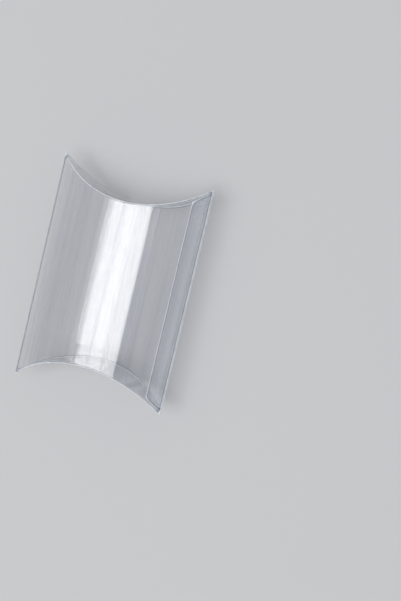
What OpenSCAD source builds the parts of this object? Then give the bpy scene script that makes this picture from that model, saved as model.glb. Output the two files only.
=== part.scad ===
// Clear pillow box: one die-cut sheet of stiff clear film, folded into a flattened tube and closed at
// both ends by two curved flaps each.
// The box lies on its back panel. X runs across the box, Y along it, and Z up through both panels.
// The origin is at the middle of the underside. The two side folds lie in the fold plane, half way up.

/* [Box] */
// Width between the two side folds
box_w = 80; // [60:1:120]
// Length between the corners, along a side fold
box_l = 116; // [90:1:180]
// Height of each curved panel above or below the fold plane
bulge = 16; // [10:1:20]

/* [Film] */
// Thickness of the film
film_t = 0.3; // [0.2:0.05:0.5]
// Air between an outer flap and the inner flap behind it
layer_gap = 0.3; // [0.1:0.05:1]

/* [Glue tab] */
// Width of the tab glued inside the front panel, measured from the right side fold
tab_w = 10; // [6:0.5:16]
// Distance of the tab's ends from the outer flaps
tab_inset = 2; // [1.2:0.1:4]

/* [Flaps] */
// Distance of a flap's tips from the side folds
tip_relief = 1.5; // [1:0.1:4]
// Distance of a flap's free edge from the panel that it reaches towards
edge_margin = 0.6; // [0.4:0.1:3]
// Radius of the half-round thumb notch in each outer flap
notch_r = 7; // [4:0.5:9]
// Air left between an outer flap and the front panel's end while the flap swings past it
swing_clear = 0.15; // [0.1:0.05:0.4]
// Air between the back panel and the inner flap that stands on it
crease_gap = 0.05; // [0.02:0.01:0.2]

/* [Hidden] */
$fn = 240;

function arc_radius(half_chord, rise) = (half_chord * half_chord + rise * rise) / (2 * rise);

// Bend radius of the panels, and the angle from the crown to a side fold
panel_r = arc_radius(box_w / 2, bulge);
fold_angle = asin(box_w / 2 / panel_r);

// Each crease is the curve where a panel meets an upright wall of the same radius, so that a 45 degree
// plane holds it. The wall's axis stands beyond the end of the box.
wall_y = box_l / 2 + panel_r - bulge;

// Bend radii of the two layers of flaps, each at the face that is turned outwards
outer_flap_r = panel_r;
inner_flap_r = panel_r + film_t + layer_gap;

// Room under the front panel that an outer flap needs to swing out past the panel's end
hinge_gap = film_t / cos(fold_angle) + swing_clear;

// Rise of the free edges over the fold plane, and their radii
edge_half_w = box_w / 2 - tip_relief;
outer_edge_rise = bulge - edge_margin;
inner_edge_rise = bulge - film_t - edge_margin;

// Spare length that the end cuts take off
cut_over = 1;

film_colour = [0.80, 0.86, 0.93, 0.45];

// A disc in the section plane whose crown is rise above the fold plane, or below it with side = -1.
module crown_disc(radius, rise, side = 1)
    translate([0, bulge + side * (rise - radius)]) circle(radius);

// The section between two panels that are set back from the film's outer face.
module section_inside(set_back)
    intersection() {
        crown_disc(panel_r - set_back, bulge - set_back, 1);
        crown_disc(panel_r - set_back, bulge - set_back, -1);
    }

// Stands a section up and draws it along the box.
module along_box(y_from, y_to)
    translate([0, y_to, 0]) rotate([90, 0, 0]) linear_extrude(y_to - y_from) children();

// The round space outside an end wall, up to a given height.
module beyond_end(radius, height)
    translate([0, wall_y, -cut_over]) cylinder(r = radius, h = height + cut_over);

module both_ends() {
    children();
    mirror([0, 1, 0]) children();
}

// Folded tube without its ends: front panel, back panel and the two side folds.
module film_tube()
    along_box(-box_l / 2 - cut_over, box_l / 2 + cut_over)
        difference() {
            section_inside(0);
            section_inside(film_t);
        }

// Tab that continues the back panel past the right side fold. It reaches half way into the front
// panel's film, to which it is glued.
module glue_tab()
    difference() {
        along_box(-box_l / 2, box_l / 2)
            intersection() {
                difference() {
                    section_inside(film_t / 2);
                    crown_disc(panel_r - 2 * film_t, bulge - 2 * film_t);
                }
                translate([0, bulge + bulge - panel_r])
                    rotate(tab_w / panel_r * 180 / PI - fold_angle) square(2 * panel_r);
            }
        both_ends() beyond_end(panel_r + tab_inset, 2 * bulge + cut_over);
    }

// Front and back panels with the glue tab, open at both ends. The back panel is the shorter one, by
// the thickness of the outer flap and the air behind it.
module sleeve()
    color(film_colour)
        union() {
            difference() {
                film_tube();
                both_ends() beyond_end(outer_flap_r, 2 * bulge + cut_over);
                both_ends() beyond_end(inner_flap_r, bulge);
            }
            glue_tab();
        }

// A flap as an upright curved wall, bounded by the section that it is given.
module flap_wall(face_r)
    intersection() {
        along_box(box_l / 2 - 2 * bulge, box_l / 2) children();
        difference() {
            beyond_end(face_r + film_t, 2 * bulge + cut_over);
            beyond_end(face_r, 2 * bulge + 2 * cut_over);
        }
    }

// Flap that hangs from the front panel and closes last. Its free edge has the thumb notch.
module outer_flap()
    color(film_colour)
        flap_wall(outer_flap_r)
            difference() {
                intersection() {
                    crown_disc(panel_r - film_t - hinge_gap, bulge - film_t - hinge_gap);
                    crown_disc(arc_radius(edge_half_w, outer_edge_rise), outer_edge_rise, -1);
                }
                translate([0, edge_margin]) circle(notch_r);
            }

// Flap that stands on the back panel and closes first.
module inner_flap()
    color(film_colour)
        flap_wall(inner_flap_r)
            intersection() {
                crown_disc(panel_r - film_t - crease_gap, bulge - film_t - crease_gap, -1);
                crown_disc(arc_radius(edge_half_w, inner_edge_rise), inner_edge_rise);
            }

module top_outer_flap() outer_flap();
module top_inner_flap() inner_flap();
module bottom_outer_flap() mirror([0, 1, 0]) outer_flap();
module bottom_inner_flap() mirror([0, 1, 0]) inner_flap();

sleeve();
top_outer_flap();
top_inner_flap();
bottom_outer_flap();
bottom_inner_flap();
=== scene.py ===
"""Clear film pillow box on a pale floor: the sleeve, its glue tab and the four end flaps.

The box lies on its back panel. Every sheet of film is ruled: straight lines run from one curved
edge to another, so one Geometry Nodes tree lays out all of them from their rulings. All lengths
are in metres.
"""

import logging
import math
from dataclasses import dataclass
from enum import Enum
from typing import Sequence, Union

import bpy
from mathutils import Matrix, Vector


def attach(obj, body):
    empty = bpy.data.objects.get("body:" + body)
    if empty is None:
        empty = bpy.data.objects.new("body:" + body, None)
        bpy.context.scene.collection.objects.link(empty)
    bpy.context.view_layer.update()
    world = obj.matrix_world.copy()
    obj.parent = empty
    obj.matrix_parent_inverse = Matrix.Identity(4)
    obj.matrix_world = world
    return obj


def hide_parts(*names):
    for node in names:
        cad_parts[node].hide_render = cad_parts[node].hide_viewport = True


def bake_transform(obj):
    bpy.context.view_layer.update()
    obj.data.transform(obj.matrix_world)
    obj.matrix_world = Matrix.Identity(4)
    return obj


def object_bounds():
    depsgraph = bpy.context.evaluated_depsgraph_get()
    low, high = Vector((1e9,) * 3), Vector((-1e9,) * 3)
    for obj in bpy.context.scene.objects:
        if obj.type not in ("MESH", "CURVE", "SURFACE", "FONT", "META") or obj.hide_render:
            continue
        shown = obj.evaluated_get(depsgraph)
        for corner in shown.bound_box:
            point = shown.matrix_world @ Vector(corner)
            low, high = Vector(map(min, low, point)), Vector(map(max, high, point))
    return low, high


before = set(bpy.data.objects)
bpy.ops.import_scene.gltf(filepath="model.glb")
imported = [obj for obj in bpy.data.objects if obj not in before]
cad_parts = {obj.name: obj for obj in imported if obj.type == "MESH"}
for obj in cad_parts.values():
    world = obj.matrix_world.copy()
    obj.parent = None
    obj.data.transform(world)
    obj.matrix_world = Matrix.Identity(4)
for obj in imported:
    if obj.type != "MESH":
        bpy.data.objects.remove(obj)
CAD_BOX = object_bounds()

MM = 0.001
LOG = logging.getLogger("pillow_box")

Number = Union[int, float]
Colour = tuple[float, float, float]
Range = tuple[float, float]


class End(Enum):
    """The two closed ends of the box, by the sign of Y."""

    TOP = 1
    BOTTOM = -1


class Layer(Enum):
    """The two layers of flaps at an end, by which way their walls run from the crease along Z."""

    OUTER = -1
    INNER = 1


class Part(Enum):
    """The parts of the sleeve. Its side folds count as the back panel's."""

    TAB = "glue tab"
    BACK = "back panel"
    FRONT = "front panel"

    @property
    def layer(self) -> Layer:
        """The layer of flaps on this side of the box."""
        return Layer.INNER if self is Part.BACK else Layer.OUTER


class Wire:
    """A socket that Python expressions can be written with. Each operation adds a node."""

    def __init__(self, net: "Net", socket: bpy.types.NodeSocket) -> None:
        """Wraps a socket.

        Args:
            net: The network that the socket's node is in.
            socket: An output socket.
        """
        self.net = net
        self.socket = socket

    @property
    def is_vector(self) -> bool:
        """True for a vector or a colour."""
        return self.socket.type in ("VECTOR", "RGBA")

    def _combined(self, operation: str, first: "Term", second: "Term") -> "Wire":
        """Adds a Math node, or a Vector Math node if either term is a vector.

        Args:
            operation: The node's operation.
            first: The first term.
            second: The second term.

        Returns:
            The node's result.
        """
        has_vector = any(isinstance(term, Wire) and term.is_vector for term in (first, second))
        return self.net.maths(operation, first, second, vector=has_vector)

    def __add__(self, other: "Term") -> "Wire":
        """self + other."""
        return self._combined("ADD", self, other)

    def __radd__(self, other: "Term") -> "Wire":
        """other + self."""
        return self._combined("ADD", other, self)

    def __sub__(self, other: "Term") -> "Wire":
        """self - other."""
        return self._combined("SUBTRACT", self, other)

    def __rsub__(self, other: "Term") -> "Wire":
        """other - self."""
        return self._combined("SUBTRACT", other, self)

    def __mul__(self, other: "Term") -> "Wire":
        """self * other."""
        return self._combined("MULTIPLY", self, other)

    def __rmul__(self, other: "Term") -> "Wire":
        """other * self."""
        return self._combined("MULTIPLY", other, self)

    def __truediv__(self, other: "Term") -> "Wire":
        """self / other."""
        return self._combined("DIVIDE", self, other)

    def __pow__(self, exponent: "Term") -> "Wire":
        """self to the power of exponent."""
        return self.net.maths("POWER", self, exponent)

    def __abs__(self) -> "Wire":
        """The size of self, without its sign."""
        return self.net.maths("ABSOLUTE", self)

    def floor(self) -> "Wire":
        """The whole number at or below self."""
        return self.net.maths("FLOOR", self)

    def least(self, other: "Term") -> "Wire":
        """The smaller of self and other."""
        return self.net.maths("MINIMUM", self, other)

    def clamped(self) -> "Wire":
        """self, held between 0 and 1."""
        return self.net.add("ShaderNodeClamp", None, {"Value": self}).out("Result")

    def eased(self, start: "Term", end: "Term") -> "Wire":
        """Rises smoothly from 0 to 1 as self goes from start to end.

        Args:
            start: Value at and before which the result is 0.
            end: Value at and past which the result is 1.

        Returns:
            The eased value.
        """
        settings = {"interpolation_type": "SMOOTHSTEP"}
        sockets = {"Value": self, "From Min": start, "From Max": end}
        return self.net.add("ShaderNodeMapRange", settings, sockets).out("Result")

    def parts(self) -> tuple["Wire", "Wire", "Wire"]:
        """The three numbers of a vector."""
        split = self.net.add("ShaderNodeSeparateXYZ", None, {0: self})
        return split.out("X"), split.out("Y"), split.out("Z")


Term = Union[Wire, Number, Sequence[float]]


class Placed:
    """A node that has been added, from which outputs are taken by name."""

    def __init__(self, net: "Net", node: bpy.types.Node) -> None:
        """Keeps the node.

        Args:
            net: The network that the node is in.
            node: The node.
        """
        self.net = net
        self.node = node

    def out(self, name: str) -> Wire:
        """The output in use that has this name."""
        return Wire(self.net, next(s for s in self.node.outputs if s.name == name and s.enabled))


class Net:
    """A node tree, and the one method that adds any node to it."""

    def __init__(self, tree: bpy.types.NodeTree) -> None:
        """Starts on a tree.

        Args:
            tree: A shader or geometry node tree.
        """
        self.tree = tree

    @classmethod
    def of(cls, owner: Union[bpy.types.Material, bpy.types.World, bpy.types.Light]) -> "Net":
        """Starts on the emptied nodes of a material, a world or a lamp.

        Args:
            owner: The material, world or lamp.

        Returns:
            The network.
        """
        owner.use_nodes = True
        owner.node_tree.nodes.clear()
        return cls(owner.node_tree)

    def add(self, kind: str, settings: dict | None = None, sockets: dict | None = None) -> Placed:
        """Adds a node.

        Args:
            kind: The node's type name.
            settings: Properties of the node, which are set first.
            sockets: Values or wires for its inputs, by name or index.

        Returns:
            The node.
        """
        node = self.tree.nodes.new(kind)
        for name, value in (settings or {}).items():
            setattr(node, name, value)
        for key, value in (sockets or {}).items():
            self._feed(self._input(node, key), value)
        return Placed(self, node)

    def maths(self, operation: str, *terms: Term, vector: bool = False) -> Wire:
        """Adds a Math or Vector Math node.

        Args:
            operation: The node's operation.
            terms: Its inputs, in order.
            vector: True for Vector Math.

        Returns:
            The node's result.
        """
        kind = "ShaderNodeVectorMath" if vector else "ShaderNodeMath"
        placed = self.add(kind, {"operation": operation}, dict(enumerate(terms)))
        return placed.out("Vector" if vector else "Value")

    def vector(self, x: Term, y: Term, z: Term) -> Wire:
        """Three numbers joined to a vector."""
        return self.add("ShaderNodeCombineXYZ", None, {"X": x, "Y": y, "Z": z}).out("Vector")

    def attribute(self, name: str) -> Placed:
        """The mesh's attribute of this name, for a material."""
        return self.add("ShaderNodeAttribute", {"attribute_name": name})

    def surface(self, sockets: dict) -> Wire:
        """A Principled shader with these values or wires."""
        return self.add("ShaderNodeBsdfPrincipled", None, sockets).out("BSDF")

    def mixed(self, share: Wire, first: Wire, second: Wire) -> Wire:
        """Two shaders mixed, with this share of the second one."""
        return self.add("ShaderNodeMixShader", None, {0: share, 1: first, 2: second}).out("Shader")

    def toned(self, share: Wire, first: Union[Wire, Colour], second: Colour) -> Wire:
        """Two colours mixed, with this share of the second one."""
        sockets = {"Factor": share, "A": first, "B": second}
        return self.add("ShaderNodeMix", {"data_type": "RGBA"}, sockets).out("Result")

    @staticmethod
    def _input(node: bpy.types.Node, key: Union[str, int]) -> bpy.types.NodeSocket:
        """Finds an input socket.

        Args:
            node: The node.
            key: The socket's name or index.

        Returns:
            The socket in use that has this name, or the one at this index.
        """
        if isinstance(key, int):
            return node.inputs[key]
        return next(s for s in node.inputs if s.name == key and s.enabled)

    def _feed(self, socket: bpy.types.NodeSocket, value: Term) -> None:
        """Links a wire to a socket, or sets the socket's own value.

        Args:
            socket: The input socket.
            value: The wire or the value.
        """
        if isinstance(value, Wire):
            self.tree.links.new(value.socket, socket)
        elif socket.type == "VECTOR" and isinstance(value, (int, float)):
            socket.default_value = (value,) * 3
        elif socket.type == "RGBA" and len(value) == 3:
            socket.default_value = (*value, 1.0)
        else:
            socket.default_value = value


@dataclass(frozen=True)
class BoxShape:
    """The curves that all the film follows.

    Each panel is an arc in section, and each end wall is an arc of the same radius seen from
    above, so that panel and wall meet in a crease that lies in a 45 degree plane.
    """

    width: float
    length: float
    bulge: float
    film: float = 0.3 * MM
    layer_gap: float = 0.3 * MM
    crease_bend: float = 0.45 * MM
    corner_width: float = 2.5 * MM
    back_line_place: float = 0.3
    back_shade: float = 0.7

    @classmethod
    def from_frame(cls) -> "BoxShape":
        """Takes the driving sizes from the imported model's box."""
        low, high = CAD_BOX
        return cls(high[0] - low[0], high[1] - low[1], (high[2] - low[2]) / 2)

    @property
    def radius(self) -> float:
        """Bend radius of the outer face of both panels."""
        return arc_radius(self.width / 2, self.bulge)

    @property
    def arc_depth(self) -> float:
        """Distance of a panel's bend axis from the fold plane."""
        return self.radius - self.bulge

    @property
    def wall_y(self) -> float:
        """Distance of an end wall's bend axis from the middle of the box."""
        return self.length / 2 + self.arc_depth

    def rise(self, x: float, set_back: float) -> float:
        """Height over the fold plane of a face set back from a panel's outer face.

        Args:
            x: Distance from the box's middle plane.
            set_back: Depth of the face in the film.

        Returns:
            The height.
        """
        return math.sqrt((self.radius - set_back) ** 2 - x * x) - self.arc_depth

    def reach(self, x: float, set_back: float) -> float:
        """Distance along the box of a face set back from an end wall's outer face.

        Args:
            x: Distance from the box's middle plane.
            set_back: Depth of the face behind the wall's outer face.

        Returns:
            The distance from the middle of the box.
        """
        return self.wall_y - math.sqrt((self.radius + set_back) ** 2 - x * x)

    def near_corner(self, x: float) -> float:
        """Share that is 1 over most of the width and falls to 0 at a corner.

        Args:
            x: Distance from the box's middle plane.

        Returns:
            The share.
        """
        return min(1.0, (self.width / 2 - abs(x)) / self.corner_width)

    def bend_at(self, x: float) -> float:
        """Reach of the small bend at a crease, which is tighter near the corners.

        Args:
            x: Distance from the box's middle plane.

        Returns:
            The distance from the sharp crease to where the bend starts.
        """
        return self.crease_bend * self.near_corner(x)

    def line_at(self, x: float, layer: Layer) -> float:
        """Place of a crease's painted highlight line. On the back it is moved off the bend and on
        to the panel.

        Args:
            x: Distance from the box's middle plane.
            layer: The layer of flaps at the crease: outer at the front, inner at the back.

        Returns:
            The distance from the end of the panel to the middle of the line.
        """
        return self.bend_at(x) * (self.back_line_place if layer is Layer.INNER else 1.0)

    def shade_at(self, x: float, layer: Layer) -> float:
        """Strength of the dark shade beside the lines. On the back it is weaker off the side folds.

        Args:
            x: Distance from the box's middle plane.
            layer: The layer of flaps at the crease.

        Returns:
            The strength, up to 1.
        """
        side = (2 * x / self.width) ** 4
        return self.back_shade + (1 - self.back_shade) * side if layer is Layer.INNER else 1.0


def arc_radius(half_chord: float, rise: float) -> float:
    """Radius of the arc with this half chord and rise."""
    return (half_chord**2 + rise**2) / (2 * rise)


def spread(start: float, end: float, count: int) -> list[float]:
    """Evenly spaced numbers, from start to end.

    Args:
        start: The first number.
        end: The last number.
        count: How many steps lie between them.

    Returns:
        count + 1 numbers.
    """
    return [start + (end - start) * i / count for i in range(count + 1)]


def bent(start: Vector, corner: Vector, end: Vector, steps: int) -> list[Vector]:
    """Points inside a small bend that rounds a corner.

    Args:
        start: Point where the bend starts.
        corner: The sharp corner.
        end: Point where the bend ends.
        steps: How many pieces the bend has.

    Returns:
        The points between start and end, without the two.
    """
    shares = [i / steps for i in range(1, steps)]
    return [start * (1 - t) ** 2 + corner * (2 * t * (1 - t)) + end * t * t for t in shares]


@dataclass(frozen=True)
class Ruling:
    """One straight line of a sheet of film, with the small bend that leads into it.

    bend_start, crease and wall_start are one point where the sheet has no bend. near_line and
    far_line say how far in from the line's two ends the painted highlight of a crease or cut edge
    lies, and shade is the strength of the painted dark shade beside it. ripple_share is the share
    of the ripple that the line takes, and bond is the strength of the glue.
    """

    bend_start: Vector
    crease: Vector
    wall_start: Vector
    free_end: Vector
    across: float
    fold_gap: float
    near_line: float
    far_line: float
    shade: float = 1.0
    ripple_share: float = 0.0
    bond: float = 0.0


@dataclass(frozen=True)
class SheetSizes:
    """How a sheet is laid out: its rows, its film and the depth of its ripple."""

    bend_rows: int
    wall_rows: int
    film: float
    ripple: float


class RuledFilmTree:
    """The Geometry Nodes tree that turns rulings into a closed sheet of film.

    The modified mesh is a chain of points, one for each ruling, that carries the rulings' own
    points as attributes.
    """

    RAILS = ("bend_start", "crease", "wall_start", "free_end")
    NUMBERS = ("across", "fold_gap", "near_line", "far_line", "shade", "ripple_share", "bond")
    RIPPLE_SCALE = 16.0
    RIPPLE_DETAIL = 1.0
    RIPPLE_SEED = 3.7
    CALM_END = 14 * MM
    STRESS_REACH = 14 * MM
    WELD = 0.001 * MM

    INPUTS = (
        ("Bend rows", "NodeSocketInt"),
        ("Wall rows", "NodeSocketInt"),
        ("Film", "NodeSocketFloat"),
        ("Ripple", "NodeSocketFloat"),
        ("Material", "NodeSocketMaterial"),
    )

    def __init__(self) -> None:
        """Builds the tree."""
        self.tree = bpy.data.node_groups.new("ruled_film", "GeometryNodeTree")
        face = self.tree.interface
        face.new_socket("Rulings", in_out="INPUT", socket_type="NodeSocketGeometry")
        for name, kind in self.INPUTS:
            face.new_socket(name, in_out="INPUT", socket_type=kind)
        face.new_socket("Film", in_out="OUTPUT", socket_type="NodeSocketGeometry")
        self.net = Net(self.tree)
        self.entry = self.net.add("NodeGroupInput")
        self._lay_out()

    def _rail(self, column: Wire, name: str, kind: str) -> Wire:
        """Reads an attribute of the ruling that a grid point belongs to.

        Args:
            column: The ruling's number.
            name: The attribute.
            kind: Its data type.

        Returns:
            The attribute's value.
        """
        value = self.net.add("GeometryNodeInputNamedAttribute", {"data_type": kind}, {"Name": name})
        sockets = {
            "Geometry": self.entry.out("Rulings"),
            "Value": value.out("Attribute"),
            "Index": column,
        }
        return self.net.add("GeometryNodeSampleIndex", {"data_type": kind}, sockets).out("Value")

    def _distance(self, first: Wire, second: Wire) -> Wire:
        """Distance between two points."""
        sockets = {0: first, 1: second}
        return self.net.add("ShaderNodeVectorMath", {"operation": "DISTANCE"}, sockets).out("Value")

    def _stored(self, sheet: Wire, name: str, value: Wire) -> Wire:
        """Stores a number or a vector on the points of a sheet.

        Args:
            sheet: The sheet.
            name: The attribute's name.
            value: The number or the vector.

        Returns:
            The sheet with the attribute.
        """
        settings = {"data_type": "FLOAT_VECTOR" if value.is_vector else "FLOAT", "domain": "POINT"}
        sockets = {"Geometry": sheet, "Name": name, "Value": value}
        return self.net.add("GeometryNodeStoreNamedAttribute", settings, sockets).out("Geometry")

    def _lay_out(self) -> None:
        """Adds the nodes: the grid on its rulings, the ripple, the thickness and the material."""
        net, entry = self.net, self.entry
        bend_rows, wall_rows = entry.out("Bend rows"), entry.out("Wall rows")
        size = net.add("GeometryNodeAttributeDomainSize", None, {"Geometry": entry.out("Rulings")})
        rows = bend_rows + wall_rows + 1
        sockets = {"Vertices X": size.out("Point Count"), "Vertices Y": rows}
        grid = net.add("GeometryNodeMeshGrid", None, sockets).out("Mesh")

        index = net.add("GeometryNodeInputIndex").out("Index")
        column = ((index + 0.5) / rows).floor()
        row = index - column * rows
        points = [self._rail(column, name, "FLOAT_VECTOR") for name in self.RAILS]
        start, corner, wall, free = points
        numbers = [self._rail(column, name, "FLOAT") for name in self.NUMBERS]
        across, fold_gap, near_line, far_line, shade, ripple_share, bond = numbers

        turn = (row / net.maths("MAXIMUM", bend_rows, 1)).clamped()
        climb = ((row - bend_rows) / wall_rows).clamped()
        straight = 1 - turn
        bend = start * straight * straight + corner * (2 * turn * straight) + wall * turn * turn
        point = bend + (free - wall) * climb
        sockets = {"Geometry": grid, "Position": point}
        sheet = net.add("GeometryNodeSetPosition", None, sockets).out("Geometry")

        bend_length = self._distance(start, corner) + self._distance(corner, wall)
        wall_length = self._distance(wall, free)
        along = bend_length * turn + wall_length * climb
        left_over = bend_length + wall_length - along
        # Distance to the nearest fold or cut-edge line, where the material paints its highlight and
        # shade.
        line_gap = abs(along - near_line).least(abs(left_over - far_line)).least(fold_gap)
        corner_gap = net.maths("MAXIMUM", along.least(left_over), fold_gap)
        sheet = self._stored(sheet, "film", net.vector(across, along, line_gap))
        sheet = self._stored(sheet, "stress", corner_gap.eased(self.STRESS_REACH, 0))
        sheet = self._stored(sheet, "shade", shade)
        sheet = self._stored(sheet, "bond", bond)

        waves = along.least(left_over).eased(0, self.CALM_END) * ripple_share
        film = self._thickened(self._sunk(sheet, point, waves))
        smooth = net.add("GeometryNodeSetShadeSmooth", None, {"Geometry": film}).out("Geometry")
        plain = net.add("GeometryNodeRealizeInstances", None, {"Geometry": smooth}).out("Geometry")
        sockets = {"Geometry": plain, "Material": entry.out("Material")}
        dressed = net.add("GeometryNodeSetMaterial", None, sockets).out("Geometry")
        net.add("NodeGroupOutput", None, {"Film": dressed})

    def _sunk(self, sheet: Wire, point: Wire, waves: Wire) -> Wire:
        """Sinks a sheet from the film's middle to its inner face, and deeper where it ripples.

        Args:
            sheet: The sheet.
            point: Place of each of its points.
            waves: Share of the ripple at each point.

        Returns:
            The film's inner face.
        """
        net, entry = self.net, self.entry
        settings = {"noise_dimensions": "4D"}
        sockets = {
            "Vector": point,
            "W": self.RIPPLE_SEED,
            "Scale": self.RIPPLE_SCALE,
            "Detail": self.RIPPLE_DETAIL,
        }
        noise = net.add("ShaderNodeTexNoise", settings, sockets).out("Fac")
        normal = net.add("GeometryNodeInputNormal").out("Normal")
        sink = noise * waves * entry.out("Ripple") + entry.out("Film") / 2
        sockets = {"Geometry": sheet, "Offset": normal * (0 - sink)}
        return net.add("GeometryNodeSetPosition", None, sockets).out("Geometry")

    def _thickened(self, inner: Wire) -> Wire:
        """Gives the film its outer face and its rim.

        Args:
            inner: The inner face.

        Returns:
            The closed sheet.
        """
        net = self.net
        sockets = {"Mesh": inner, "Offset Scale": self.entry.out("Film"), "Individual": False}
        outer = net.add("GeometryNodeExtrudeMesh", {"mode": "FACES"}, sockets).out("Mesh")
        back = net.add("GeometryNodeFlipFaces", None, {"Mesh": inner}).out("Mesh")
        both = net.add("GeometryNodeJoinGeometry", None, {"Geometry": outer})
        net.tree.links.new(back.socket, both.node.inputs["Geometry"])
        sockets = {"Geometry": both.out("Geometry"), "Distance": self.WELD}
        return net.add("GeometryNodeMergeByDistance", None, sockets).out("Geometry")

    def identifier(self, name: str) -> str:
        """The identifier of a named input, by which a modifier stores its value."""
        items = self.tree.interface.items_tree
        return next(i.identifier for i in items if i.name == name and i.in_out == "INPUT")


class FilmMaker:
    """Makes sheets of film from rulings, all with the same tree and material."""

    SHARP_ANGLE = math.radians(40)

    def __init__(self, material: bpy.types.Material) -> None:
        """Builds the tree.

        Args:
            material: The film's material.
        """
        self.film_tree = RuledFilmTree()
        self.material = material

    def make(self, name: str, rulings: Sequence[Ruling], sizes: SheetSizes) -> bpy.types.Object:
        """Makes one sheet as a plain mesh at the origin.

        Args:
            name: The piece's name.
            rulings: Its straight lines, in order.
            sizes: How it is laid out.

        Returns:
            The sheet.
        """
        chain = self._chain(name, rulings)
        modifier = chain.modifiers.new("film", "NODES")
        modifier.node_group = self.film_tree.tree
        values = (sizes.bend_rows, sizes.wall_rows, sizes.film, sizes.ripple, self.material)
        for (socket, _kind), value in zip(RuledFilmTree.INPUTS, values):
            modifier[self.film_tree.identifier(socket)] = value
        scene = bpy.context.scene
        scene.collection.objects.link(chain)
        shapes = bpy.context.evaluated_depsgraph_get()
        mesh = bpy.data.meshes.new_from_object(
            chain.evaluated_get(shapes), preserve_all_data_layers=True, depsgraph=shapes
        )
        bpy.data.objects.remove(chain)
        mesh.name = name
        mesh.set_sharp_from_angle(angle=self.SHARP_ANGLE)
        sheet = bpy.data.objects.new(name, mesh)
        scene.collection.objects.link(sheet)
        return sheet

    @staticmethod
    def _chain(name: str, rulings: Sequence[Ruling]) -> bpy.types.Object:
        """Makes the chain of points that carries the rulings.

        Args:
            name: The piece's name.
            rulings: Its straight lines.

        Returns:
            The chain, not yet in the scene.
        """
        mesh = bpy.data.meshes.new(name + "_rulings")
        links = [(i, i + 1) for i in range(len(rulings) - 1)]
        mesh.from_pydata([r.crease for r in rulings], links, [])
        for rail in RuledFilmTree.RAILS:
            flat = [number for r in rulings for number in getattr(r, rail)]
            mesh.attributes.new(rail, "FLOAT_VECTOR", "POINT").data.foreach_set("vector", flat)
        for number in RuledFilmTree.NUMBERS:
            flat = [getattr(r, number) for r in rulings]
            mesh.attributes.new(number, "FLOAT", "POINT").data.foreach_set("value", flat)
        return bpy.data.objects.new(name + "_rulings", mesh)


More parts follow.
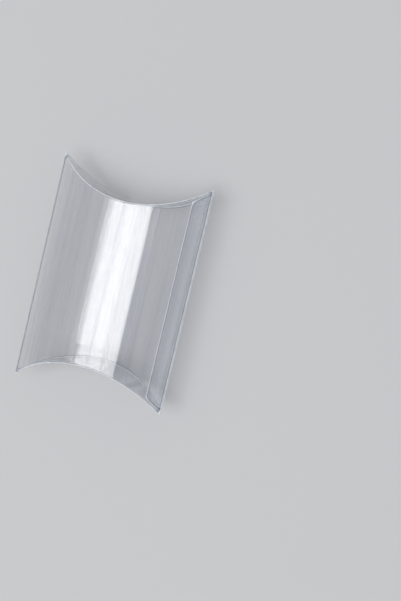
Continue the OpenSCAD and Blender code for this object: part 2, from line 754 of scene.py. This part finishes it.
@dataclass(frozen=True)
class ClearFilm:
    """Stiff clear film: glossy and faintly streaked along the box, with a painted highlight at its
    folds and cut edges and a painted shade beside it.

    Each range gives the noise at which a mark starts to show and at which it is full. A haze or a
    cover is the share of the surface that a mark hides.
    """

    let_through: Colour = (0.978, 0.981, 0.986)
    head_on_mirror: float = 0.045
    gloss: float = 0.02
    draw_line_depth: float = 0.016 * MM
    # Slate is the haze's tone and also the colour of the painted shade beside the highlight lines.
    slate: Colour = (0.11, 0.15, 0.22)
    warm_grey: Colour = (0.23, 0.20, 0.19)
    milk: Colour = (0.66, 0.70, 0.76)
    veil_roughness: float = 0.4
    haze: float = 0.006
    drift: float = 260 * MM
    streak_pitch: float = 5.5 * MM
    streak_range: Range = (0.5, 0.72)
    streak_haze: float = 0.06
    line_pitch: float = 1.3 * MM
    line_range: Range = (0.56, 0.74)
    line_haze: float = 0.065
    tone_pitch: float = 12 * MM
    tone_range: Range = (0.5, 0.65)
    glue_haze: float = 0.13
    least_glue: float = 0.4
    speck_pitch: float = 1.1 * MM
    speck_range: Range = (0.48, 0.6)
    speck_cover: float = 0.4
    speck_whiteness: float = 5.0
    # Painted highlight: the white lines laid on folds and cut edges, fading at random along them.
    edge: Colour = (0.93, 0.96, 1.0)
    edge_roughness: float = 0.25
    edge_width: float = 0.45 * MM
    edge_core: float = 0.3
    edge_cover: float = 0.9
    highlight_fade_pitch: float = 2.5 * MM
    highlight_fade_range: Range = (0.4, 0.7)
    highlight_fade: float = 0.35
    # Painted shade: a slate band this wide beside each highlight line, covering this share of the
    # film.
    shade_width: float = 1.1 * MM
    shade_cover: float = 0.26
    noise_detail: float = 2.0

    def material(self) -> bpy.types.Material:
        """Builds the material.

        Returns:
            The material.
        """
        made = bpy.data.materials.new("clear_film")
        net = Net.of(made)
        across, along, gap = net.attribute("film").out("Vector").parts()
        broad = self._noise(net, across, along, self.streak_pitch, self.drift)
        fine = self._noise(net, across, along, self.line_pitch, self.drift)
        hue = self._noise(net, across, along, self.tone_pitch, self.drift)
        fade_noise = self._noise(net, across, along, self.highlight_fade_pitch, self.highlight_fade_pitch)
        specks = self._noise(net, across, along, self.speck_pitch, self.speck_pitch)

        dark = broad.eased(*self.streak_range)
        pale = fine.eased(*self.line_range)
        bond = net.attribute("bond").out("Fac")
        glue = bond * (self.least_glue + broad)
        crazed = bond * net.attribute("stress").out("Fac") * specks.eased(*self.speck_range)
        # Painted shade: a slate band beside each highlight line, which also drops the warm tone and
        # milkiness there.
        shade = net.attribute("shade").out("Fac")
        beside = gap.eased(self.shade_width, self.edge_width) * shade
        streaks = self.haze + self.streak_haze * dark + self.line_haze * pale
        marks = self.glue_haze * glue + self.shade_cover * beside + self.speck_cover * crazed
        cover = (streaks + marks).clamped()
        warmth = hue.eased(*self.tone_range) * (1 - beside)
        milkiness = (pale + glue + self.speck_whiteness * crazed).clamped() * (1 - beside)
        ground = net.toned(warmth, self.slate, self.warm_grey)
        tone = net.toned(milkiness, ground, self.milk)
        veil = net.surface({"Base Color": tone, "Roughness": self.veil_roughness})
        hazed = net.mixed(cover, self._sheen(net, fine), veil)

        # Painted highlight: a white line along each fold and cut edge, fainter in random stretches.
        line = gap.eased(self.edge_width, self.edge_core * self.edge_width)
        highlight_share = line * self.edge_cover * (1 - self.highlight_fade * fade_noise.eased(*self.highlight_fade_range))
        rim = net.surface({"Base Color": self.edge, "Roughness": self.edge_roughness})
        finished = net.mixed(highlight_share, hazed, rim)
        net.add("ShaderNodeOutputMaterial", None, {"Surface": finished})
        return made

    def _sheen(self, net: Net, fine: Wire) -> Wire:
        """The clean film: clear, with a mirror over it that grows towards grazing angles.

        Args:
            net: The material's network.
            fine: The noise of the fine draw lines.

        Returns:
            The shader.
        """
        sockets = {"Height": fine, "Strength": 1.0, "Distance": self.draw_line_depth}
        draw_lines = net.add("ShaderNodeBump", None, sockets).out("Normal")
        facing = net.add("ShaderNodeLayerWeight", None, {"Blend": 0.5}).out("Facing")
        mirrored = self.head_on_mirror + (1 - self.head_on_mirror) * facing**5
        sockets = {"Color": self.let_through}
        clear = net.add("ShaderNodeBsdfTransparent", None, sockets).out("BSDF")
        sockets = {
            "Base Color": (1.0, 1.0, 1.0),
            "Metallic": 1.0,
            "Roughness": self.gloss,
            "Normal": draw_lines,
        }
        return net.mixed(mirrored, clear, net.surface(sockets))

    def _noise(self, net: Net, across: Wire, along: Wire, pitch: float, drift: float) -> Wire:
        """Soft noise on the film, which makes streaks where drift is much longer than pitch.

        The third coordinate gives each pitch a noise of its own.

        Args:
            net: The material's network.
            across: Distance across the film.
            along: Distance along the film.
            pitch: Typical distance across from one streak to the next.
            drift: Typical length of a streak.

        Returns:
            The noise, from 0 to 1.
        """
        place = net.vector(across / pitch, along / drift, pitch / MM)
        sockets = {"Vector": place, "Scale": 1.0, "Detail": self.noise_detail}
        return net.add("ShaderNodeTexNoise", None, sockets).out("Fac")


@dataclass(frozen=True)
class Section:
    """The sleeve's film in section, from the tab's free edge round to the front panel's cut edge.

    X runs across the box, and Y is the height over the fold plane. fold_x is where the panels'
    middles would cross at the right side.
    """

    tab: list[Vector]
    right_fold: list[Vector]
    back: list[Vector]
    left_fold: list[Vector]
    front: list[Vector]
    fold_x: float

    def points(self) -> list[Vector]:
        """All the points, in order."""
        return self.tab + self.right_fold + self.back + self.left_fold + self.front

    def marks(self) -> list[float]:
        """Measures along the film.

        Returns:
            Distance of each point from the tab's free edge.
        """
        points = self.points()
        marks = [0.0]
        for last, point in zip(points, points[1:]):
            marks.append(marks[-1] + (point - last).length)
        return marks

    def part(self, place: int) -> Part:
        """The part that a point is in.

        Args:
            place: The point's number.

        Returns:
            The part.
        """
        if place < len(self.tab):
            return Part.TAB
        return Part.FRONT if place >= len(self.points()) - len(self.front) else Part.BACK

    def fold_places(self) -> tuple[int, int]:
        """Finds the middles of the side folds.

        Returns:
            Numbers of the points in the middle of the right fold and of the left fold.
        """
        right = len(self.tab) + len(self.right_fold) // 2
        before_left = len(self.tab) + len(self.right_fold) + len(self.back)
        return right, before_left + len(self.left_fold) // 2


@dataclass
class Sleeve:
    """Both panels in one sheet, with two side folds and the glue tab behind the front panel."""

    shape: BoxShape
    tab_width: float = 10 * MM
    tab_inset: float = 0.6 * MM
    tab_air: float = 0.03 * MM
    fold_bend: float = 0.245 * MM
    front_edge_inset: float = 0.35 * MM
    flap_gap: float = 0.8 * MM
    panel_steps: int = 72
    tab_steps: int = 10
    fold_steps: int = 6
    rows: int = 44
    ripple: float = 0.28 * MM
    calm_side: float = 14 * MM

    def build(self, maker: FilmMaker) -> bpy.types.Object:
        """Makes the sleeve.

        Args:
            maker: What makes sheets of film.

        Returns:
            The piece.
        """
        sizes = SheetSizes(
            bend_rows=0,
            wall_rows=self.rows,
            film=self.shape.film,
            ripple=self.ripple,
        )
        piece = maker.make("film_sleeve", self._rulings(), sizes)
        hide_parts("sleeve")
        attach(piece, "case")
        return piece

    def _arc(
        self, set_back: float, side: int, start: float, end: float, steps: int
    ) -> list[Vector]:
        """Points of a panel's section, with X across the box and Y over the fold plane.

        Args:
            set_back: Depth of the film's middle behind the panel's outer face.
            side: 1 for the front panel, -1 for the back panel.
            start: X of the first point.
            end: X of the last point.
            steps: How many pieces the arc has.

        Returns:
            The points.
        """
        radius = self.shape.radius - set_back
        depth = self.shape.arc_depth
        points = []
        for angle in spread(math.asin(start / radius), math.asin(end / radius), steps):
            height = side * (radius * math.cos(angle) - depth)
            points.append(Vector((radius * math.sin(angle), height)))
        return points

    def _crossing(self, front_set_back: float, back_set_back: float) -> Vector:
        """The point in the section where two faces of the panels would meet at the right side.

        Args:
            front_set_back: Depth of the front face.
            back_set_back: Depth of the back face.

        Returns:
            The point.
        """
        shape = self.shape
        front, back = shape.radius - front_set_back, shape.radius - back_set_back
        height = (front**2 - back**2) / (4 * shape.arc_depth)
        return Vector((math.sqrt(front**2 - (height + shape.arc_depth) ** 2), height))

    def _section(self) -> Section:
        """Lays out the section.

        Returns:
            The section of the film's middle.
        """
        shape = self.shape
        middle = shape.film / 2
        tab_depth = middle + shape.film + self.tab_air
        right = self._crossing(tab_depth, middle)
        left = self._crossing(middle, middle)
        left.x = -left.x
        right_bend, left_bend = right.x - self.fold_bend, left.x + self.fold_bend
        front_edge = right.x - self.front_edge_inset
        tab_angle = math.asin(right.x / shape.radius) - self.tab_width / shape.radius
        tab_edge = shape.radius * math.sin(tab_angle)

        tab = self._arc(tab_depth, 1, tab_edge, right_bend, self.tab_steps)
        back = self._arc(middle, -1, right_bend, left_bend, self.panel_steps)
        front = self._arc(middle, 1, left_bend, front_edge, self.panel_steps)
        right_fold = bent(tab[-1], right, back[0], self.fold_steps)
        left_fold = bent(back[-1], left, front[0], self.fold_steps)
        return Section(tab, right_fold, back, left_fold, front, right.x)

    def _back_off(self, part: Part, x: float, to_fold: float) -> float:
        """Depth of the film's end behind the end wall's outer face.

        Args:
            part: The part of the sleeve.
            x: Distance from the box's middle plane.
            to_fold: Share of the way from the tab's free edge to the right fold.

        Returns:
            The depth, which leaves the outer flap and its gap clear of the back panel and the tab.
        """
        layer = self.shape.film + self.shape.layer_gap
        if part is Part.TAB:
            return layer + self.tab_inset * (1 - to_fold)
        return layer * self.shape.near_corner(x) if part is Part.BACK else 0.0

    def _rulings(self) -> list[Ruling]:
        """Lays out the straight lines of the sheet.

        Returns:
            The lines, in the section's order.
        """
        shape = self.shape
        section = self._section()
        marks = section.marks()
        right_mark, left_mark = (marks[place] for place in section.fold_places())
        lines = (marks[0], right_mark, left_mark, marks[-1])
        rulings = []
        for place, (point, mark) in enumerate(zip(section.points(), marks)):
            part = section.part(place)
            is_tab = part is Part.TAB
            back_off = self._back_off(part, point.x, mark / right_mark)
            end = shape.reach(point.x, back_off) - shape.bend_at(point.x)
            start = Vector((point.x, -end, shape.bulge + point.y))
            finish = Vector((point.x, end, shape.bulge + point.y))
            has_flap = not is_tab and shape.width / 2 - abs(point.x) > self.flap_gap
            line = -shape.line_at(point.x, part.layer) if has_flap else 0.0
            in_from_side = section.fold_x - abs(point.x)
            ruling = Ruling(
                bend_start=start,
                crease=start,
                wall_start=start,
                free_end=finish,
                across=mark,
                fold_gap=min(abs(mark - other) for other in lines),
                near_line=line,
                far_line=line,
                shade=shape.shade_at(point.x, part.layer),
                ripple_share=min(1.0, max(0.0, in_from_side / self.calm_side)),
                bond=math.sin(math.pi * mark / right_mark) ** 2 if is_tab else 0.0,
            )
            rulings.append(ruling)
        return rulings


@dataclass
class EndFlap:
    """One curved flap, hinged at its crease and cut round along its free edge."""

    shape: BoxShape
    end: End
    layer: Layer
    tip_relief: float = 0.4 * MM
    tip_trim: float = 0.4 * MM
    edge_margin: float = 0.6 * MM
    notch_radius: float = 7 * MM
    bend_rows: int = 5
    wall_rows: int = 26
    wall_steps: int = 30
    notch_steps: int = 28
    hinge_bend: float = 2 * MM

    @property
    def node(self) -> str:
        """The CAD node that the flap stands for."""
        return f"{self.end.name.lower()}_{self.layer.name.lower()}_flap"

    @property
    def _depth(self) -> float:
        """Depth of the film's middle behind the end wall's outer face."""
        inner = self.layer is Layer.INNER
        return self.shape.film / 2 + (self.shape.film + self.shape.layer_gap if inner else 0.0)

    def build(self, maker: FilmMaker) -> bpy.types.Object:
        """Makes the flap. An inner flap is fixed to the case, and an outer one is left loose.

        Args:
            maker: What makes sheets of film.

        Returns:
            The piece.
        """
        sizes = SheetSizes(
            bend_rows=self.bend_rows,
            wall_rows=self.wall_rows,
            film=self.shape.film,
            ripple=0.0,
        )
        piece = maker.make("film_" + self.node, self._rulings(), sizes)
        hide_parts(self.node)
        if self.layer is Layer.INNER:
            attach(piece, "case")
        else:
            self._hinge(piece)
        return piece

    @property
    def _crown(self) -> Vector:
        """The middle of an outer flap's crease, which its joint's axis passes through."""
        shape = self.shape
        return Vector((0.0, self.end.value * (shape.length / 2 - shape.bulge), 2 * shape.bulge))

    def _hinge(self, piece: bpy.types.Object) -> None:
        """Bakes the flap's place into its mesh and works out each point's share of the joint's
        turn.

        The shares are worked out point by point, because the crease is curved. Nothing applies
        them.

        Args:
            piece: The flap's mesh.
        """
        inward = Vector((0.0, -self.end.value, -1.0))
        start = self._crown + inward * self.shape.crease_bend / 2
        start + inward * self.hinge_bend / 2
        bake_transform(piece)
        shares = [self._turn_share(vertex.co) for vertex in piece.data.vertices]

    def _turn_share(self, point: Vector) -> float:
        """Share of the joint's turn that a point takes.

        With these shares, each upright line would turn about its own end on the crease as the joint
        opens fully.

        Args:
            point: A point of the flap.

        Returns:
            0 at the crease, and up to 1 away from it.
        """
        out = max(0.0, abs(point.y) - abs(self._crown.y))
        drop = max(0.0, self._crown.z - point.z)
        turn = 1 - 4 / math.pi * math.atan2(out, max(drop, out))
        past_crease = (drop - out - self.shape.crease_bend) / self.hinge_bend
        eased = min(1.0, max(0.0, past_crease))
        return turn * eased * eased * (3 - 2 * eased)

    def _free_rise(self, x: float) -> float:
        """Distance of the free edge from the fold plane, on the side away from the crease.

        Args:
            x: Distance from the box's middle plane.

        Returns:
            The distance, less at the thumb notch.
        """
        shape = self.shape
        inner = self.layer is Layer.INNER
        rise = shape.bulge - self.edge_margin - (shape.film if inner else 0.0)
        radius = arc_radius(shape.width / 2 - self.tip_relief, rise)
        edge = math.sqrt(radius**2 - x * x) - (radius - rise)
        if inner or abs(x) >= self.notch_radius:
            return edge
        return min(edge, rise - math.sqrt(self.notch_radius**2 - x * x))

    def _places(self) -> list[float]:
        """Spaces the rulings, closer together where the thumb notch is steep.

        Returns:
            X of each ruling.
        """
        tip = self.shape.width / 2 - self.tip_relief - self.tip_trim
        turns = spread(-math.pi / 2, math.pi / 2, self.notch_steps)
        middle = [self.notch_radius * math.sin(turn) for turn in turns]
        right = spread(self.notch_radius, tip, self.wall_steps)[1:]
        return [-x for x in reversed(right)] + middle + right

    def _rulings(self) -> list[Ruling]:
        """Lays out the straight upright lines of the flap.

        Returns:
            The lines, ordered so that the sheet faces outwards.
        """
        shape = self.shape
        sign, up = self.end.value, self.layer.value
        rulings = []
        places = self._places()
        tip_angle = math.asin(places[-1] / shape.radius)
        for x in places:
            y = shape.reach(x, self._depth)
            rise = shape.rise(x, shape.film / 2)
            bend = shape.bend_at(x)
            angle = math.asin(x / shape.radius)
            crease = Vector((x, sign * y, shape.bulge - up * rise))
            ruling = Ruling(
                bend_start=crease - Vector((0.0, sign * bend, 0.0)),
                crease=crease,
                wall_start=crease + Vector((0.0, 0.0, up * bend)),
                free_end=Vector((x, sign * y, shape.bulge + up * self._free_rise(x))),
                across=shape.radius * angle,
                fold_gap=shape.radius * (tip_angle - abs(angle)),
                near_line=shape.line_at(x, self.layer),
                far_line=0.0,
                shade=shape.shade_at(x, self.layer),
            )
            rulings.append(ruling)
        return rulings if sign * up < 0 else rulings[::-1]


@dataclass(frozen=True)
class Softbox:
    """A rectangular lamp that points straight down.

    Across it, from 0 to 1, it is brightest along bright_line and dimmer by falloff times the
    square of the distance from there. Below border it has only border_share of its light, and
    from border_end times border it has all of it.
    """

    name: str
    place: tuple[float, float, float]
    size: tuple[float, float]
    radiance: float
    bright_line: float = 0.5
    falloff: float = 0.0
    border: float = 0.0
    border_share: float = 1.0
    border_end: float = 1.1

    def build(self) -> bpy.types.Object:
        """Hangs the lamp.

        Returns:
            The lamp.
        """
        data = bpy.data.lights.new(self.name, "AREA")
        data.shape = "RECTANGLE"
        data.size, data.size_y = self.size
        # The power goes with the area, so that a lamp of any size is equally bright.
        data.energy = math.pi * self.size[0] * self.size[1]
        net = Net.of(data)
        across = net.add("ShaderNodeNewGeometry").out("Parametric").parts()[0]
        off_line = across - self.bright_line
        strength = self.radiance * (1 - self.falloff * off_line * off_line)
        if self.border > 0:
            inside = across.eased(self.border, self.border * self.border_end)
            strength = strength * (self.border_share + (1 - self.border_share) * inside)
        glow = net.add("ShaderNodeEmission", None, {"Strength": strength}).out("Emission")
        net.add("ShaderNodeOutputLight", None, {"Surface": glow})
        lamp = bpy.data.objects.new(self.name, data)
        lamp.location = self.place
        lamp.visible_camera = False
        bpy.context.scene.collection.objects.link(lamp)
        return lamp


@dataclass(frozen=True)
class Studio:
    """Floor, lamps, world and camera."""

    floor_size: float = 8.0
    floor_colour: Colour = (0.56, 0.56, 0.57)
    floor_roughness: float = 0.75
    floor_shine: float = 0.2
    world_colour: Colour = (0.97, 0.98, 1.0)
    world_light: float = 0.55
    key: Softbox = Softbox(
        name="key_softbox",
        place=(-0.30, -0.24, 2.0),
        size=(1.62, 1.30),
        radiance=3.9,
        bright_line=0.6,
        falloff=1.0,
        border=0.05,
        border_share=0.6,
    )
    side: Softbox = Softbox(
        name="side_softbox",
        place=(-1.36, -0.24, 2.0),
        size=(0.34, 1.30),
        radiance=0.9,
    )
    camera_aim: tuple[float, float, float] = (45.7 * MM, 3.3 * MM, 16.1 * MM)
    camera_distance: float = 756.6 * MM
    to_camera: tuple[float, float, float] = (0.2433, 0.1096, 0.9637)
    image_up: tuple[float, float, float] = (-0.2549, 0.9659, -0.0455)
    lens: float = 92.5
    nearest: float = 10 * MM
    clear_faces: int = 32

    def build(self) -> None:
        """Sets up everything round the box."""
        self._floor()
        self._world()
        self._camera()
        self.key.build()
        self.side.build()
        scene = bpy.context.scene
        scene.view_settings.view_transform = "Standard"
        scene.cycles.transparent_max_bounces = self.clear_faces

    def _floor(self) -> None:
        """Lays a plain pale floor."""
        half = self.floor_size / 2
        mesh = bpy.data.meshes.new("floor")
        corners = [(-half, -half, 0), (half, -half, 0), (half, half, 0), (-half, half, 0)]
        mesh.from_pydata(corners, [], [(0, 1, 2, 3)])
        made = bpy.data.materials.new("floor")
        net = Net.of(made)
        sockets = {
            "Base Color": self.floor_colour,
            "Roughness": self.floor_roughness,
            "Specular IOR Level": self.floor_shine,
        }
        net.add("ShaderNodeOutputMaterial", None, {"Surface": net.surface(sockets)})
        mesh.materials.append(made)
        floor = bpy.data.objects.new("floor", mesh)
        bpy.context.scene.collection.objects.link(floor)

    def _world(self) -> None:
        """Lights the box softly and evenly from all round."""
        world = bpy.data.worlds.new("studio")
        net = Net.of(world)
        fill = {"Color": self.world_colour, "Strength": self.world_light}
        soft = net.add("ShaderNodeBackground", None, fill).out("Background")
        net.add("ShaderNodeOutputWorld", None, {"Surface": soft})
        bpy.context.scene.world = world

    def _camera(self) -> None:
        """Places the camera at the photograph's viewing angle."""
        data = bpy.data.cameras.new("camera")
        data.lens = self.lens
        data.clip_start = self.nearest
        back = Vector(self.to_camera).normalized()
        right = Vector(self.image_up).cross(back).normalized()
        up = back.cross(right)
        camera = bpy.data.objects.new("camera", data)
        turned = Matrix((right, up, back)).transposed().to_4x4()
        place = Vector(self.camera_aim) + back * self.camera_distance
        camera.matrix_world = Matrix.Translation(place) @ turned
        bpy.context.scene.collection.objects.link(camera)
        bpy.context.scene.camera = camera


def main() -> None:
    """Builds the box and the studio."""
    logging.basicConfig(level=logging.INFO, format="%(message)s")
    shape = BoxShape.from_frame()
    maker = FilmMaker(ClearFilm().material())
    flaps = [EndFlap(shape, end, layer) for end in End for layer in Layer]
    builders: list[Union[Sleeve, EndFlap]] = [Sleeve(shape), *flaps]
    for builder in builders:
        piece = builder.build(maker)
        LOG.info("%s: %d faces", piece.name, len(piece.data.polygons))
    Studio().build()


if __name__ == "__main__":
    main()
